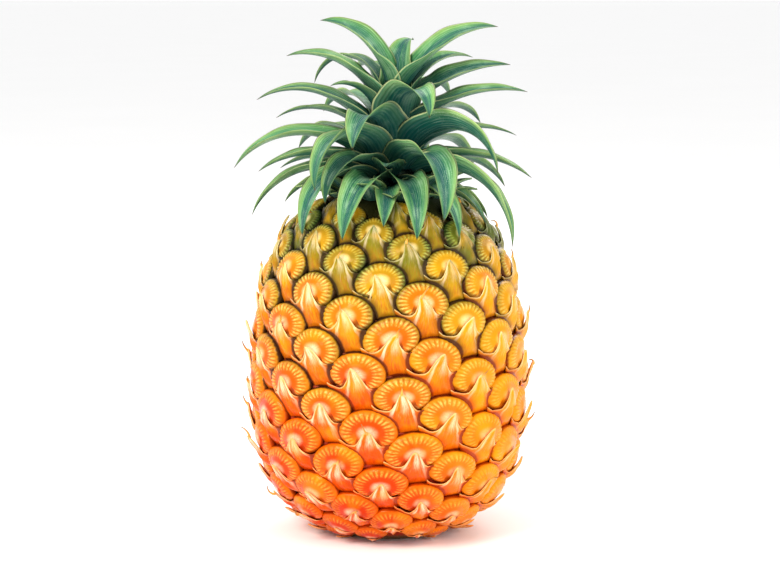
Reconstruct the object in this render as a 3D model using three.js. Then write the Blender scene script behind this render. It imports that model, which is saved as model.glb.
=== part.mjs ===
// A whole pineapple standing on its base: the barrel of fused fruitlets with its eyes in spirals,
// and the crown, a short tapering stem that carries leaves in four tiers.
// Millimetres, +Z up. The origin is the centre of the flat cut base; -Y is the fruit's front.
import * as THREE from "three";

const DEGREE = Math.PI / 180;

// Driving dimensions of the fruit.
const FRUIT_RADIUS = 62; // widest, over the eyes
const FRUIT_HEIGHT = 150; // base to neck
const EQUATOR_HEIGHT = 64.5; // height of the widest ring
const BASE_RADIUS = 26; // the flat cut spot it stands on
const NECK_RADIUS = 27; // the flat top that carries the crown
const SHOULDER_POWER = 2.4; // how square the barrel's shoulders are
const GROOVE_DEPTH = 3.2; // how far the grooves lie below the eyes

// The spiral in which the eyes grow, from the base up.
const DIVERGENCE = -137.37; // degrees from one eye to the next
const FIRST_EYE_AZIMUTH = 1; // degrees
const EYE_RISE = 1.18; // along the outline from one eye to the next, at the widest ring
const EYE_SHRINK = 0.3; // how much closer the eyes are where the fruit is narrow
const FIRST_EYE = 3; // along the outline, from the base's edge
const LAST_EYE = 3; // the least left between an eye and the neck's edge
const EYE_TABLE = 0.6; // share of an eye that is its raised middle
const EYE_TABLE_DEPTH = 0.5;

// Driving dimensions of the crown.
const CROWN_TILT = 4; // degrees towards +X
const STEM_FOOT_RADIUS = 12;
const STEM_TIP_RADIUS = 2;
const STEM_HEIGHT = 51;
const STEM_TAPER = 1.5; // how late the stem narrows
const STEM_SIDES = 20;
const CLEARANCE = 0.3; // between pieces that touch
const LEAF_THICKNESS = 1.2; // at the midrib; the margins are thin
const LEAF_CHANNEL = 0.28; // depth of the channel, as a share of the leaf's width
const LEAF_ROOT = 0.5; // width at the root, as a share of the leaf's width
const LEAF_STATIONS = 12;
const HANG_REACH = 50; // how far out the shoulder is read for the leaves that hang over it
const HANG_FALL = 20.93; // the fall below the neck there for which the leaves' droop is chosen
const LEAF_SIDES = 4; // midrib above, margin, midrib below, margin

// Leaves of each tier, in degrees and millimetres: azimuth, height of the root as a share of the stem's,
// length, width, lean from upright at the root, the same at the tip, how late the leaf bends, roll about
// its own line (positive lowers its right margin, seen from the root), and swing, by which its azimuth
// changes along it.
const TIERS = {
  heart_leaf: [
    [-178, 0.902, 43, 16, 16, 92, 1.2, 25, 0],
    [-5, 0.882, 50, 16, 27, 88, 1.4, -25, 5],
    [90, 0.725, 37, 14, 0, 106, 2.6, 0, -34],
    [32, 0.755, 42, 12, 10, 102, 1.0, -10, -8],
    [-172, 0.706, 50, 14, 30, 108, 1.2, 10, 0],
    [148, 0.745, 52, 9, 8, 165, 1.1, 0, 0],
    [-156, 0.608, 30, 10, 14, 112, 1.1, 0, 0],
    [-78, 0.51, 46, 20, 2, 172, 1.3, 0, 25],
    [115, 0.667, 46, 12, 14, 120, 1.0, 0, 0],
  ],
  inner_leaf: [
    [3, 0.706, 49, 15, 38, 87, 1.0, -20, 0],
    [-113, 0.333, 48, 21, 6, 176, 1.1, -15, 0],
    [178, 0.451, 58, 13, 34, 124, 1.1, 10, 0],
    [160, 0.412, 50, 9, 42, 124, 1.0, 0, 0],
    [-8, 0.559, 54, 13, 42, 96, 1.0, -15, 0],
    [15, 0.363, 49, 10, 50, 110, 1.0, 0, 0],
    [-38, 0.333, 59, 18, 28, 162, 1.0, 32, 0],
    [-132, 0.235, 57, 18, 24, 190, 1.0, -20, 8],
    [62, 0.569, 54, 13, 22, 130, 1.0, 0, 0],
    [88, 0.49, 58, 15, 28, 135, 1.0, 0, 0],
    [127, 0.49, 52, 13, 28, 140, 1.0, 0, 0],
    [46, 0.431, 54, 13, 32, 130, 1.0, 0, 0],
  ],
  outer_leaf: [
    [-128, 0.147, 43, 14, 40, 186, 1.0, 0, -5],
    [-10, 0.235, 53, 13, 62, 122, 1.0, 0, 0],
    [180, 0.235, 65, 15, 48, 147, 1.0, 10, 0],
    [-168, 0.176, 49, 13, 62, 128, 1.0, 0, 0],
    [160, 0.137, 42, 10, 62, 125, 1.0, 0, 0],
    [-63, 0.176, 61, 19, 36, 188, 1.0, 10, -4],
    [-173, 0.098, 57, 13, 66, 160, 1.0, 0, 0],
    [-32, 0.137, 69, 18, 58, 172, 1.0, 25, -8],
    [-94, 0.118, 27, 14, 46, 104, 1.0, 0, 0],
    [75, 0.275, 60, 15, 40, 150, 1.0, 0, 0],
    [105, 0.314, 60, 15, 40, 145, 1.0, 0, 0],
    [136, 0.255, 54, 14, 40, 142, 1.0, 0, 0],
    [52, 0.235, 58, 14, 44, 145, 1.0, 0, 0],
    [28, 0.176, 52, 13, 56, 140, 1.0, 0, 0],
  ],
  collar_leaf: [
    [-74, 0.059, 49, 15, 62, 172, 1.0, 0, -4],
    [-112, 0.059, 50, 15, 64, 178, 1.0, 0, 0],
    [-92, 0.031, 36, 12, 74, 155, 1.0, 0, 0],
    [-144, 0.069, 52, 14, 60, 186, 1.0, 0, 22],
    [-125, 0.024, 27, 8, 80, 108, 1.0, 0, 0],
    [-159, 0.029, 28, 8, 72, 112, 1.0, 0, 0],
    [-50, 0.049, 45, 12, 66, 168, 1.0, 0, 0],
    [-20, 0.049, 38, 12, 74, 150, 1.0, 0, 0],
    [163, 0.039, 40, 11, 72, 146, 1.0, 0, 0],
    [90, 0.118, 56, 14, 58, 165, 1.0, 0, 0],
    [120, 0.118, 56, 14, 58, 165, 1.0, 0, 0],
    [62, 0.098, 56, 14, 58, 165, 1.0, 0, 0],
    [138, 0.039, 42, 12, 72, 152, 1.0, 0, 0],
    [105, 0.039, 42, 12, 74, 155, 1.0, 0, 0],
    [75, 0.039, 42, 12, 74, 155, 1.0, 0, 0],
    [43, 0.039, 42, 12, 72, 155, 1.0, 0, 0],
    [12, 0.039, 38, 11, 72, 150, 1.0, 0, 0],
  ],
};

const FRUIT_FINISH = { color: 0xe8912e, roughness: 0.4, metalness: 0 };
const STEM_FINISH = { color: 0xa9b46a, roughness: 0.6, metalness: 0 };
const LEAF_FINISHES = {
  heart_leaf: { color: 0x4f8f57, roughness: 0.5, metalness: 0 },
  inner_leaf: { color: 0x43854f, roughness: 0.5, metalness: 0 },
  outer_leaf: { color: 0x357a4c, roughness: 0.5, metalness: 0 },
  collar_leaf: { color: 0x5f9658, roughness: 0.55, metalness: 0 },
};

// ---- The fruit ----

// Half of the barrel's outline: a superellipse from the equator to where it would close, fitted so that
// it has the given radius at the given distance from the equator.
function shoulder(flatRadius, flatDistance) {
  const span = flatDistance * 1.04;
  const atFlat = 1 - (flatDistance / span) ** SHOULDER_POWER;
  const power = Math.log(flatRadius / FRUIT_RADIUS) / Math.log(atFlat);
  return (distance) => FRUIT_RADIUS * (1 - (distance / span) ** SHOULDER_POWER) ** power;
}

const lowerRadius = shoulder(BASE_RADIUS, EQUATOR_HEIGHT);
const upperRadius = shoulder(NECK_RADIUS, FRUIT_HEIGHT - EQUATOR_HEIGHT);

function fruitRadius(z) {
  return z < EQUATOR_HEIGHT ? lowerRadius(EQUATOR_HEIGHT - z) : upperRadius(z - EQUATOR_HEIGHT);
}

// The outline from the base's edge to the neck's edge, as a curve that is read by length.
function makeOutline() {
  const steps = 240;
  const points = Array.from({ length: steps + 1 }, (_, i) => {
    const z = (FRUIT_HEIGHT * (1 - Math.cos((Math.PI * i) / steps))) / 2;
    return new THREE.Vector2(fruitRadius(z), z);
  });
  const path = new THREE.CurvePath();
  points.slice(1).forEach((end, i) => path.add(new THREE.LineCurve(points[i], end)));
  return path;
}

const outline = makeOutline();
const outlineLength = outline.getLength();

// Distances along the outline at which the eyes sit, with enough beyond the last for its neighbours.
function eyeDistances() {
  const distances = [FIRST_EYE];
  while (distances.at(-1) < outlineLength - LAST_EYE) {
    const radius = outline.getPointAt(distances.at(-1) / outlineLength).x;
    distances.push(distances.at(-1) + EYE_RISE * (radius / FRUIT_RADIUS) ** EYE_SHRINK);
  }
  return distances.slice(0, -1);
}

// A point on the fruit: azimuth in degrees, distance along the outline, and depth below the surface.
function fruitPoint(azimuth, distance, depth) {
  const share = THREE.MathUtils.clamp(distance / outlineLength, 0, 1);
  const at = outline.getPointAt(share);
  const along = outline.getTangentAt(share);
  const radius = at.x - along.y * depth;
  const z = at.y + along.x * depth;
  return new THREE.Vector3(radius * Math.cos(azimuth * DEGREE), radius * Math.sin(azimuth * DEGREE), z);
}

// The eyes' steps 8, 13 and 21 along the spiral lead to an eye's six neighbours, and the grooves meet
// between each three of them. The grooves of the first and last eyes end on the flats' edges.
function fruitGeometry() {
  const distances = eyeDistances();
  const count = distances.length;
  const wrapped = (steps) => THREE.MathUtils.euclideanModulo(steps * DIVERGENCE + 180, 360) - 180;
  const positions = [];
  const indices = [];
  const addPoint = (point) => positions.push(point.x, point.y, point.z) / 3 - 1;

  const cornerIds = new Map();
  function corner(first, middleStep) {
    const key = `${first},${middleStep}`;
    if (!cornerIds.has(key)) {
      const turn = (wrapped(middleStep) + wrapped(21)) / 3;
      const azimuth = FIRST_EYE_AZIMUTH + first * DIVERGENCE + turn;
      const around = [first, first + middleStep, first + 21].map((i) => distances[i]);
      const below = first < 0;
      const above = first + 21 >= count;
      const mean = (around[0] + around[1] + around[2]) / 3;
      const point = below
        ? fruitPoint(azimuth, 0, 0)
        : fruitPoint(azimuth, above ? outlineLength : mean, above ? 0 : GROOVE_DEPTH);
      cornerIds.set(key, addPoint(point));
    }
    return cornerIds.get(key);
  }

  distances.forEach((distance, i) => {
    const azimuth = FIRST_EYE_AZIMUTH + i * DIVERGENCE;
    const centre = addPoint(fruitPoint(azimuth, distance, 0));
    const corners = [
      corner(i - 8, 8), corner(i, 13), corner(i, 8),
      corner(i - 13, 13), corner(i - 21, 8), corner(i - 21, 13),
    ];
    const middle = new THREE.Vector3().fromArray(positions, centre * 3);
    const table = corners.map((id) => {
      const out = new THREE.Vector3().fromArray(positions, id * 3);
      const point = middle.clone().lerp(out, EYE_TABLE);
      const lift = (GROOVE_DEPTH * EYE_TABLE - EYE_TABLE_DEPTH) / Math.hypot(point.x, point.y);
      return addPoint(new THREE.Vector3(point.x * (1 + lift), point.y * (1 + lift), point.z));
    });
    corners.forEach((id, k) => {
      const next = (k + 1) % corners.length;
      indices.push(centre, table[k], table[next]);
      indices.push(table[k], id, corners[next]);
      indices.push(table[k], corners[next], table[next]);
    });
  });

  // The flats: a fan over the rim corners, which lie round each end in order of azimuth.
  function closeEnd(z, facing) {
    const centre = addPoint(new THREE.Vector3(0, 0, z));
    const rim = [...cornerIds.values()]
      .filter((id) => Math.abs(positions[id * 3 + 2] - z) < 1e-6)
      .sort((a, b) => azimuthOf(a) - azimuthOf(b));
    rim.forEach((id, k) => {
      const next = rim[(k + 1) % rim.length];
      indices.push(...(facing > 0 ? [centre, id, next] : [centre, next, id]));
    });
  }
  const azimuthOf = (id) => Math.atan2(positions[id * 3 + 1], positions[id * 3]);
  closeEnd(0, -1);
  closeEnd(FRUIT_HEIGHT, 1);

  const geometry = new THREE.BufferGeometry();
  geometry.setAttribute("position", new THREE.Float32BufferAttribute(positions, 3));
  geometry.setIndex(indices);
  return geometry;
}

// ---- The crown ----

function stemRadius(height) {
  const taper = 1 - (height / STEM_HEIGHT) ** STEM_TAPER;
  return STEM_TIP_RADIUS + (STEM_FOOT_RADIUS - STEM_TIP_RADIUS) * taper;
}

// How far the fruit's shoulder lies below the neck at a distance from the axis.
function shoulderFall(reach) {
  let fall = 0;
  while (fruitRadius(FRUIT_HEIGHT - fall) < reach) fall += 0.01;
  return fall;
}

// The parts of leaves below the neck hang as much more or less as the shoulder falls.
const hang = shoulderFall(HANG_REACH) / HANG_FALL;

function stemGeometry() {
  const rings = 8;
  const profile = [new THREE.Vector2(0, 0)];
  for (let i = 0; i <= rings; i++) {
    const height = (STEM_HEIGHT * i) / rings;
    profile.push(new THREE.Vector2(stemRadius(height), height));
  }
  profile.push(new THREE.Vector2(0, STEM_HEIGHT + STEM_TIP_RADIUS / 2));
  return new THREE.LatheGeometry(profile, STEM_SIDES).rotateX(90 * DEGREE);
}

// How wide a leaf is along its length: a narrower root, widest about a third of the way, a pointed tip.
function leafWidth(share, width) {
  const opening = LEAF_ROOT + (1 - LEAF_ROOT) * THREE.MathUtils.smoothstep(share, 0, 0.35);
  return width * opening * (1 - share ** 2.4);
}

// The directions at a share of a leaf's length: along it, across it to the left, and out of its upper
// face. The leaf is built at azimuth 0.
function leafFrame(share, { lean, droop, late, roll, swing }) {
  const angle = (lean + (droop - lean) * share ** late) * DEGREE;
  const heading = swing * share * DEGREE;
  const along = new THREE.Vector3(Math.sin(angle), 0, Math.cos(angle));
  const upper = new THREE.Vector3(-Math.cos(angle), 0, Math.sin(angle));
  const up = new THREE.Vector3(0, 0, 1);
  along.applyAxisAngle(up, heading);
  upper.applyAxisAngle(up, heading);
  upper.applyAxisAngle(along, -roll * DEGREE * THREE.MathUtils.smoothstep(share, 0, 0.5));
  return { along, upper, left: upper.clone().cross(along) };
}

// A leaf's own line: it leaves the stem at its lean and bends outwards and down to its droop.
function leafLine(leaf) {
  const steps = LEAF_STATIONS * 8;
  const root = stemRadius(leaf.height) + CLEARANCE + LEAF_THICKNESS / 2;
  const line = [new THREE.Vector3(root, 0, leaf.height)];
  for (let i = 0; i < steps; i++) {
    const step = leafFrame((i + 0.5) / steps, leaf).along.multiplyScalar(leaf.length / steps);
    line.push(line[i].clone().add(step));
  }
  line.forEach((point) => (point.z *= point.z < 0 ? hang : 1));
  return line;
}

// A four-sided cone bent along the leaf's line: midrib above and below, a margin on either side, the
// margins raised so that the upper face is a channel.
function leafGeometry(leaf) {
  const line = leafLine(leaf);
  const geometry = new THREE.ConeGeometry(1, 1, LEAF_SIDES, LEAF_STATIONS);
  const position = geometry.getAttribute("position");
  const point = new THREE.Vector3();
  for (let i = 0; i < position.count; i++) {
    point.fromBufferAttribute(position, i);
    const share = THREE.MathUtils.clamp(point.y + 0.5, 0, 1);
    const taper = Math.max(1 - share, 1e-6);
    const across = point.x / taper;
    const width = leafWidth(share, leaf.width);
    const channel = LEAF_CHANNEL * width * THREE.MathUtils.smoothstep(share, 0, 0.25);
    const thickness = (LEAF_THICKNESS / 2) * Math.sqrt(1 - share ** 2);
    const rise = channel * Math.abs(across) + (thickness * point.z) / taper;
    const { upper, left } = leafFrame(share, leaf);
    point.copy(line[Math.round(share * (line.length - 1))]);
    point.addScaledVector(left, (-across * width) / 2).addScaledVector(upper, rise);
    position.setXYZ(i, point.x, point.y, point.z);
  }
  return geometry;
}

function makeMesh(name, geometry, finish) {
  const mesh = new THREE.Mesh(geometry, new THREE.MeshStandardMaterial(finish));
  mesh.name = name;
  return mesh;
}

function makeCrown() {
  const crown = new THREE.Group();
  const lift = CLEARANCE + STEM_FOOT_RADIUS * Math.sin(CROWN_TILT * DEGREE);
  crown.position.set(0, 0, FRUIT_HEIGHT + lift);
  crown.rotation.y = CROWN_TILT * DEGREE;
  crown.add(makeMesh("crown_stem", stemGeometry(), STEM_FINISH));
  for (const [tier, leaves] of Object.entries(TIERS)) {
    leaves.forEach(([azimuth, rootShare, length, width, lean, droop, late, roll, swing], i) => {
      const height = rootShare * STEM_HEIGHT;
      const geometry = leafGeometry({ height, length, width, lean, droop, late, roll, swing });
      const name = `${tier}_${String(i + 1).padStart(2, "0")}`;
      const leaf = makeMesh(name, geometry, LEAF_FINISHES[tier]);
      leaf.rotation.z = azimuth * DEGREE;
      crown.add(leaf);
    });
  }
  return crown;
}

const pineapple = new THREE.Group();
pineapple.name = "pineapple";
pineapple.add(makeMesh("fruit", fruitGeometry(), FRUIT_FINISH));
pineapple.add(makeCrown());

export default pineapple;
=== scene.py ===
"""Looks of a whole pineapple: ribbed eyes and pointed bracts over a barrel, and a crown of channelled leaves.

Sizes of the pieces are in millimetres and are turned into metres where a point is placed.
"""

import logging
import math
import random
from dataclasses import dataclass, field
from enum import Enum
from typing import Callable, Optional, Sequence, Union

import bmesh
import bpy
import numpy as np
from mathutils import Matrix, Vector


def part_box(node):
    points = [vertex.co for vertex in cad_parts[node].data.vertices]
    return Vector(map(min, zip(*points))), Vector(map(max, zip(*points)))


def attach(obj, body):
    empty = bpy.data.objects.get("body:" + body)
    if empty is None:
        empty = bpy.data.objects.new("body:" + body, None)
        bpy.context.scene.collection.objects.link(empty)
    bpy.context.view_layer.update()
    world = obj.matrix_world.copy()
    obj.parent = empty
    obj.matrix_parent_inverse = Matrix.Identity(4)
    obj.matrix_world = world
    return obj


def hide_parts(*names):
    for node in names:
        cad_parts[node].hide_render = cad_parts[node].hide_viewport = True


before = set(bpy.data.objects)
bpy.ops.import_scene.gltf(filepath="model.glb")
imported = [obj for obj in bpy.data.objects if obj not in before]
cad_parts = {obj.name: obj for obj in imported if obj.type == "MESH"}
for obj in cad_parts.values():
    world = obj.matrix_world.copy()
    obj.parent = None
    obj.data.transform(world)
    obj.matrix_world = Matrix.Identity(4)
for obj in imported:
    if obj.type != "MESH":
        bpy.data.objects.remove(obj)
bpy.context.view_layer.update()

LOG = logging.getLogger("pineapple")
MM = 0.001
BODY = "root"

MAP_WIDTH = 30.0  # millimetres across the map that an eye's and a bract's skin is drawn on

Colour = tuple[float, float, float, float]
Stops = Sequence[tuple[float, str]]
Number = Union[float, np.ndarray]


def tone(code: str) -> Colour:
    """Turns a display colour into the linear colour that shaders use.

    Args:
        code: Six hexadecimal digits, two each for red, green and blue.

    Returns:
        The colour with full opacity.
    """
    parts = [int(code[i:i + 2], 16) / 255 for i in (0, 2, 4)]
    linear = [p / 12.92 if p <= 0.04045 else ((p + 0.055) / 1.055) ** 2.4 for p in parts]
    return (linear[0], linear[1], linear[2], 1.0)


def ease(low: float, high: float, value: Number) -> Number:
    """Returns 0 below low, 1 above high and a smooth step between."""
    share = np.clip((value - low) / (high - low), 0.0, 1.0)
    return share * share * (3 - 2 * share)


# ---------------------------------------------------------------- shader maths


def _operator(operation: str, swapped: bool = False) -> Callable[..., "Wire"]:
    """Makes a method that adds one Math node.

    Args:
        operation: The node's operation.
        swapped: Whether the wire comes last, as it does for a reflected operator.

    Returns:
        The method.
    """
    def method(self: "Wire", *others: Union["Wire", float]) -> "Wire":
        """Adds the node and returns its result."""
        values = (*others, self) if swapped else (self, *others)
        return self.sheet.add("ShaderNodeMath", {"operation": operation}, dict(enumerate(values)))

    return method


class Wire:
    """A shader value. Arithmetic on it adds the Math nodes that work it out."""

    def __init__(self, sheet: "NodeSheet", socket: bpy.types.NodeSocket) -> None:
        """Keeps the socket and the sheet that its nodes go to."""
        self.sheet = sheet
        self.socket = socket

    __add__, __radd__ = _operator("ADD"), _operator("ADD", swapped=True)
    __sub__, __rsub__ = _operator("SUBTRACT"), _operator("SUBTRACT", swapped=True)
    __mul__, __rmul__ = _operator("MULTIPLY"), _operator("MULTIPLY", swapped=True)
    __pow__ = _operator("POWER")
    __abs__ = _operator("ABSOLUTE")
    root = _operator("SQRT")
    cos = _operator("COSINE")
    least = _operator("MINIMUM")
    most = _operator("MAXIMUM")
    angle = _operator("ARCTAN2")

    def hypot(self, other: "Wire") -> "Wire":
        """Returns the length of a right triangle's long side."""
        return (self * self + other * other).root()

    def step(self, low: float, high: float) -> "Wire":
        """Makes a smooth step between two values.

        Args:
            low: Where the step is 0.
            high: Where it is 1; below low, it falls instead of rising.

        Returns:
            The step.
        """
        turned = low > high
        ends = (high, low) if turned else (low, high)
        inputs = {"Value": self, "From Min": ends[0], "From Max": ends[1]}
        inputs |= {"To Min": 1.0 if turned else 0.0, "To Max": 0.0 if turned else 1.0}
        return self.sheet.add("ShaderNodeMapRange", {"interpolation_type": "SMOOTHSTEP"}, inputs)


class NodeSheet:
    """The node tree of one material."""

    def __init__(self, name: str) -> None:
        """Makes the material and clears its nodes."""
        self.material = bpy.data.materials.new(name)
        self.material.use_nodes = True
        self.tree = self.material.node_tree
        self.tree.nodes.clear()

    def add(self, kind: str, settings: Optional[dict] = None, inputs: Optional[dict] = None,
            output: Union[int, str] = 0) -> Wire:
        """Adds any node.

        Args:
            kind: The node's type.
            settings: Its settings, set before its sockets; "stops" are a ramp's places and colours.
            inputs: Values or wires for its sockets, by name or number.
            output: The socket that the node is read by.

        Returns:
            That socket.
        """
        node = self.tree.nodes.new(kind)
        for key, value in (settings or {}).items():
            if key == "stops":
                self._set_stops(node.color_ramp, value)
            else:
                setattr(node, key, value)
        for key, value in (inputs or {}).items():
            if isinstance(value, Wire):
                self.tree.links.new(value.socket, node.inputs[key])
            else:
                node.inputs[key].default_value = value
        return Wire(self, node.outputs[output])

    @staticmethod
    def _set_stops(ramp: bpy.types.ColorRamp, stops: Stops) -> None:
        """Gives a ramp its stops.

        Args:
            ramp: A new ramp, which has two stops.
            stops: The places and colours that it gets.
        """
        while len(ramp.elements) < len(stops):
            ramp.elements.new(1.0)
        for element, (place, code) in zip(ramp.elements, stops):
            element.position = place
            element.color = tone(code)

    def ramp(self, value: Wire, stops: Stops) -> Wire:
        """Turns a value from 0 to 1 into a colour."""
        return self.add("ShaderNodeValToRGB", {"stops": stops}, {"Fac": value}, "Color")

    def mix(self, share: Union[Wire, float], first: Union[Wire, str], second: Union[Wire, str]) -> Wire:
        """Mixes two colours.

        Args:
            share: How much of the second colour is used.
            first: A colour, as a wire or six hexadecimal digits.
            second: The colour mixed into it.

        Returns:
            The mixed colour.
        """
        ends = [tone(c) if isinstance(c, str) else c for c in (first, second)]
        return self.add("ShaderNodeMix", {"data_type": "RGBA", "clamp_factor": True},
                        {0: share, 6: ends[0], 7: ends[1]}, 2)

    def point(self) -> Wire:
        """Returns the point's place in the frame, in metres."""
        return self.add("ShaderNodeTexCoord", output="Object")

    def split(self, vector: Wire) -> tuple[Wire, Wire, Wire]:
        """Takes a vector apart.

        Args:
            vector: The vector.

        Returns:
            Its three numbers.
        """
        first = self.add("ShaderNodeSeparateXYZ", inputs={0: vector})
        outputs = first.socket.node.outputs
        return first, Wire(self, outputs[1]), Wire(self, outputs[2])

    def join(self, x: Union[Wire, float], y: Union[Wire, float], z: Union[Wire, float]) -> Wire:
        """Returns a vector of three numbers."""
        return self.add("ShaderNodeCombineXYZ", inputs={0: x, 1: y, 2: z})

    def attribute(self, name: str) -> Wire:
        """Returns a number that is kept on the mesh's points."""
        return self.add("ShaderNodeAttribute", {"attribute_name": name}, output="Fac")

    def uv(self, name: str) -> tuple[Wire, Wire]:
        """Returns the two numbers of one of the mesh's own maps."""
        across, along, _ = self.split(self.add("ShaderNodeUVMap", {"uv_map": name}))
        return across, along

    def noise(self, place: Wire, scale: float, detail: float = 2.0, rough: float = 0.5) -> Wire:
        """Returns smooth noise from about 0 to 1."""
        inputs = {"Vector": place, "Scale": scale, "Detail": detail, "Roughness": rough}
        return self.add("ShaderNodeTexNoise", inputs=inputs)

    def spots(self, place: Wire, scale: float) -> Wire:
        """Returns the distance to the nearest of scattered points."""
        return self.add("ShaderNodeTexVoronoi", inputs={"Vector": place, "Scale": scale})

    def finish(self, colour: Wire, roughness: Union[Wire, float], height: Wire, depth: float,
               shine: Optional[dict] = None) -> bpy.types.Material:
        """Ends the tree in a shader.

        Args:
            colour: The surface's colour.
            roughness: How rough it is.
            height: Fine relief from 0 to 1.
            depth: The relief's height in metres.
            shine: Other sockets of the shader that are the same all over.

        Returns:
            The finished material.
        """
        normal = self.add("ShaderNodeBump", inputs={"Height": height, "Distance": depth})
        inputs = {"Base Color": colour, "Roughness": roughness, "Normal": normal} | (shine or {})
        shader = self.add("ShaderNodeBsdfPrincipled", inputs=inputs)
        output = self.tree.nodes.new("ShaderNodeOutputMaterial")
        self.tree.links.new(shader.socket, output.inputs["Surface"])
        return self.material


# ---------------------------------------------------------------- making pieces


class Slot(Enum):
    """Material slots."""

    FRUIT = "fruit_skin"
    STEM = "stem_skin"


def make_piece(name: str, bm: bmesh.types.BMesh, slot: str, *replaced: str) -> bpy.types.Object:
    """Turns a mesh in the making into a piece of the model.

    Args:
        name: The piece's name.
        bm: Its mesh, which is freed.
        slot: A material slot's name; not used.
        replaced: The frame's nodes that it stands for.

    Returns:
        The piece, riding on the body.
    """
    mesh = bpy.data.meshes.new(name)
    bm.to_mesh(mesh)
    bm.free()
    mesh.polygons.foreach_set("use_smooth", [True] * len(mesh.polygons))
    piece = bpy.data.objects.new(name, mesh)
    bpy.context.scene.collection.objects.link(piece)
    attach(piece, BODY)
    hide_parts(*replaced)
    LOG.info("%s: %d faces", name, len(mesh.polygons))
    return piece


class Assembly:
    """A part of the model, whose pieces are built first and dressed after."""

    @staticmethod
    def dress(piece: bpy.types.Object, *skins: bpy.types.Material) -> None:
        """Gives a piece its skins, in the order of its faces' numbers."""
        for skin in skins:
            piece.data.materials.append(skin)


# ---------------------------------------------------------------- the fruit's surface


@dataclass
class Barrel:
    """The fruit's outer surface, of two superellipse shoulders on either side of its widest ring."""

    height: float
    radius: float = 62.0
    equator: float = 64.5
    base_radius: float = 26.0
    neck_radius: float = 27.0
    power: float = 2.4
    overshoot: float = 1.04
    rings: int = 600
    length: float = field(init=False)

    def __post_init__(self) -> None:
        """Works out the outline and its length."""
        turn = np.linspace(0, math.pi, self.rings)
        self._z = self.height * (1 - np.cos(turn)) / 2
        lower = self._shoulder(self.base_radius, self.equator)
        upper = self._shoulder(self.neck_radius, self.height - self.equator)
        self._r = np.array([lower(self.equator - z) if z < self.equator else upper(z - self.equator)
                            for z in self._z])
        steps = np.hypot(np.diff(self._r), np.diff(self._z))
        self._s = np.concatenate([[0], np.cumsum(steps)])
        self.length = float(self._s[-1])
        slope = np.hypot(np.gradient(self._r), np.gradient(self._z))
        self._nr = np.gradient(self._z) / slope
        self._nz = -np.gradient(self._r) / slope

    def _shoulder(self, end_radius: float, distance: float) -> Callable[[float], float]:
        """Fits one shoulder.

        Args:
            end_radius: The radius where the shoulder ends.
            distance: How far from the widest ring that is.

        Returns:
            The radius by distance from the widest ring.
        """
        span = distance * self.overshoot
        at_end = 1 - (distance / span) ** self.power
        power = math.log(end_radius / self.radius) / math.log(at_end)
        return lambda d: self.radius * (1 - (d / span) ** self.power) ** power

    def radius_at(self, along: float) -> float:
        """Returns the radius at a distance along the outline from the base's edge."""
        return float(np.interp(along, self._s, self._r))

    def place(self, turn: np.ndarray, along: np.ndarray, lift: np.ndarray) -> np.ndarray:
        """Places points on the fruit. Past either end of the outline they go on over the flat.

        Args:
            turn: Azimuths in radians.
            along: Distances along the outline from the base's edge.
            lift: Heights over the surface.

        Returns:
            The points, in metres.
        """
        under = np.maximum(-along, 0)
        over = np.maximum(along - self.length, 0)
        inside = np.clip(along, 0, self.length)
        nr = np.interp(inside, self._s, self._nr)
        nz = np.interp(inside, self._s, self._nz)
        lies = np.clip(np.maximum(under, over) / 2.0, 0, 1)
        nz = nz * (1 - lies) + np.where(along > self.length / 2, 1.0, -1.0) * lies
        nr = nr * (1 - lies)
        radius = np.interp(inside, self._s, self._r) - under - over + nr * lift
        z = np.maximum(np.interp(inside, self._s, self._z) + nz * lift, 0)
        return np.stack([radius * np.cos(turn), radius * np.sin(turn), z], axis=1) * MM


@dataclass(frozen=True)
class Eye:
    """One fruitlet's place on the barrel."""

    number: int
    turn: float
    along: float
    squeeze: float
    height_share: float


@dataclass
class Spiral:
    """The spiral in which the eyes grow, from the base up."""

    barrel: Barrel
    divergence: float = -137.37
    first_turn: float = 1.0
    rise: float = 1.18
    shrink: float = 0.3
    first: float = 3.0
    last: float = 3.0

    def eyes(self) -> list[Eye]:
        """Returns every eye, from the lowest up."""
        found: list[Eye] = []
        along = self.first
        while along < self.barrel.length - self.last:
            squeeze = self.barrel.radius_at(along) / self.barrel.radius
            turn = math.radians(self.first_turn + len(found) * self.divergence)
            found.append(Eye(len(found), turn, along, squeeze, along / self.barrel.length))
            along += self.rise * squeeze ** self.shrink
        return found

    def neighbour(self, steps: int) -> tuple[float, float]:
        """Returns the place of an eye further down the spiral, across and along from this one."""
        turn = (-steps * self.divergence + 180) % 360 - 180
        return math.radians(turn) * self.barrel.radius, -steps * self.rise

    def settle(self, eye: Eye, shape: np.ndarray) -> np.ndarray:
        """Places an eye's own points on the barrel.

        Args:
            eye: The eye.
            shape: Points across, along and over the surface, from the eye's centre.

        Returns:
            The points, in metres.
        """
        turn = eye.turn + shape[:, 0] / self.barrel.radius
        along = eye.along + shape[:, 1] * eye.squeeze ** self.shrink
        return self.barrel.place(turn, along, shape[:, 2] * eye.squeeze ** 0.5)


class SkinLevel(Enum):
    """Heights over the barrel's outline, in millimetres."""

    FLOOR = -5.4
    BRACT_FOOT = -5.0


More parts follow.
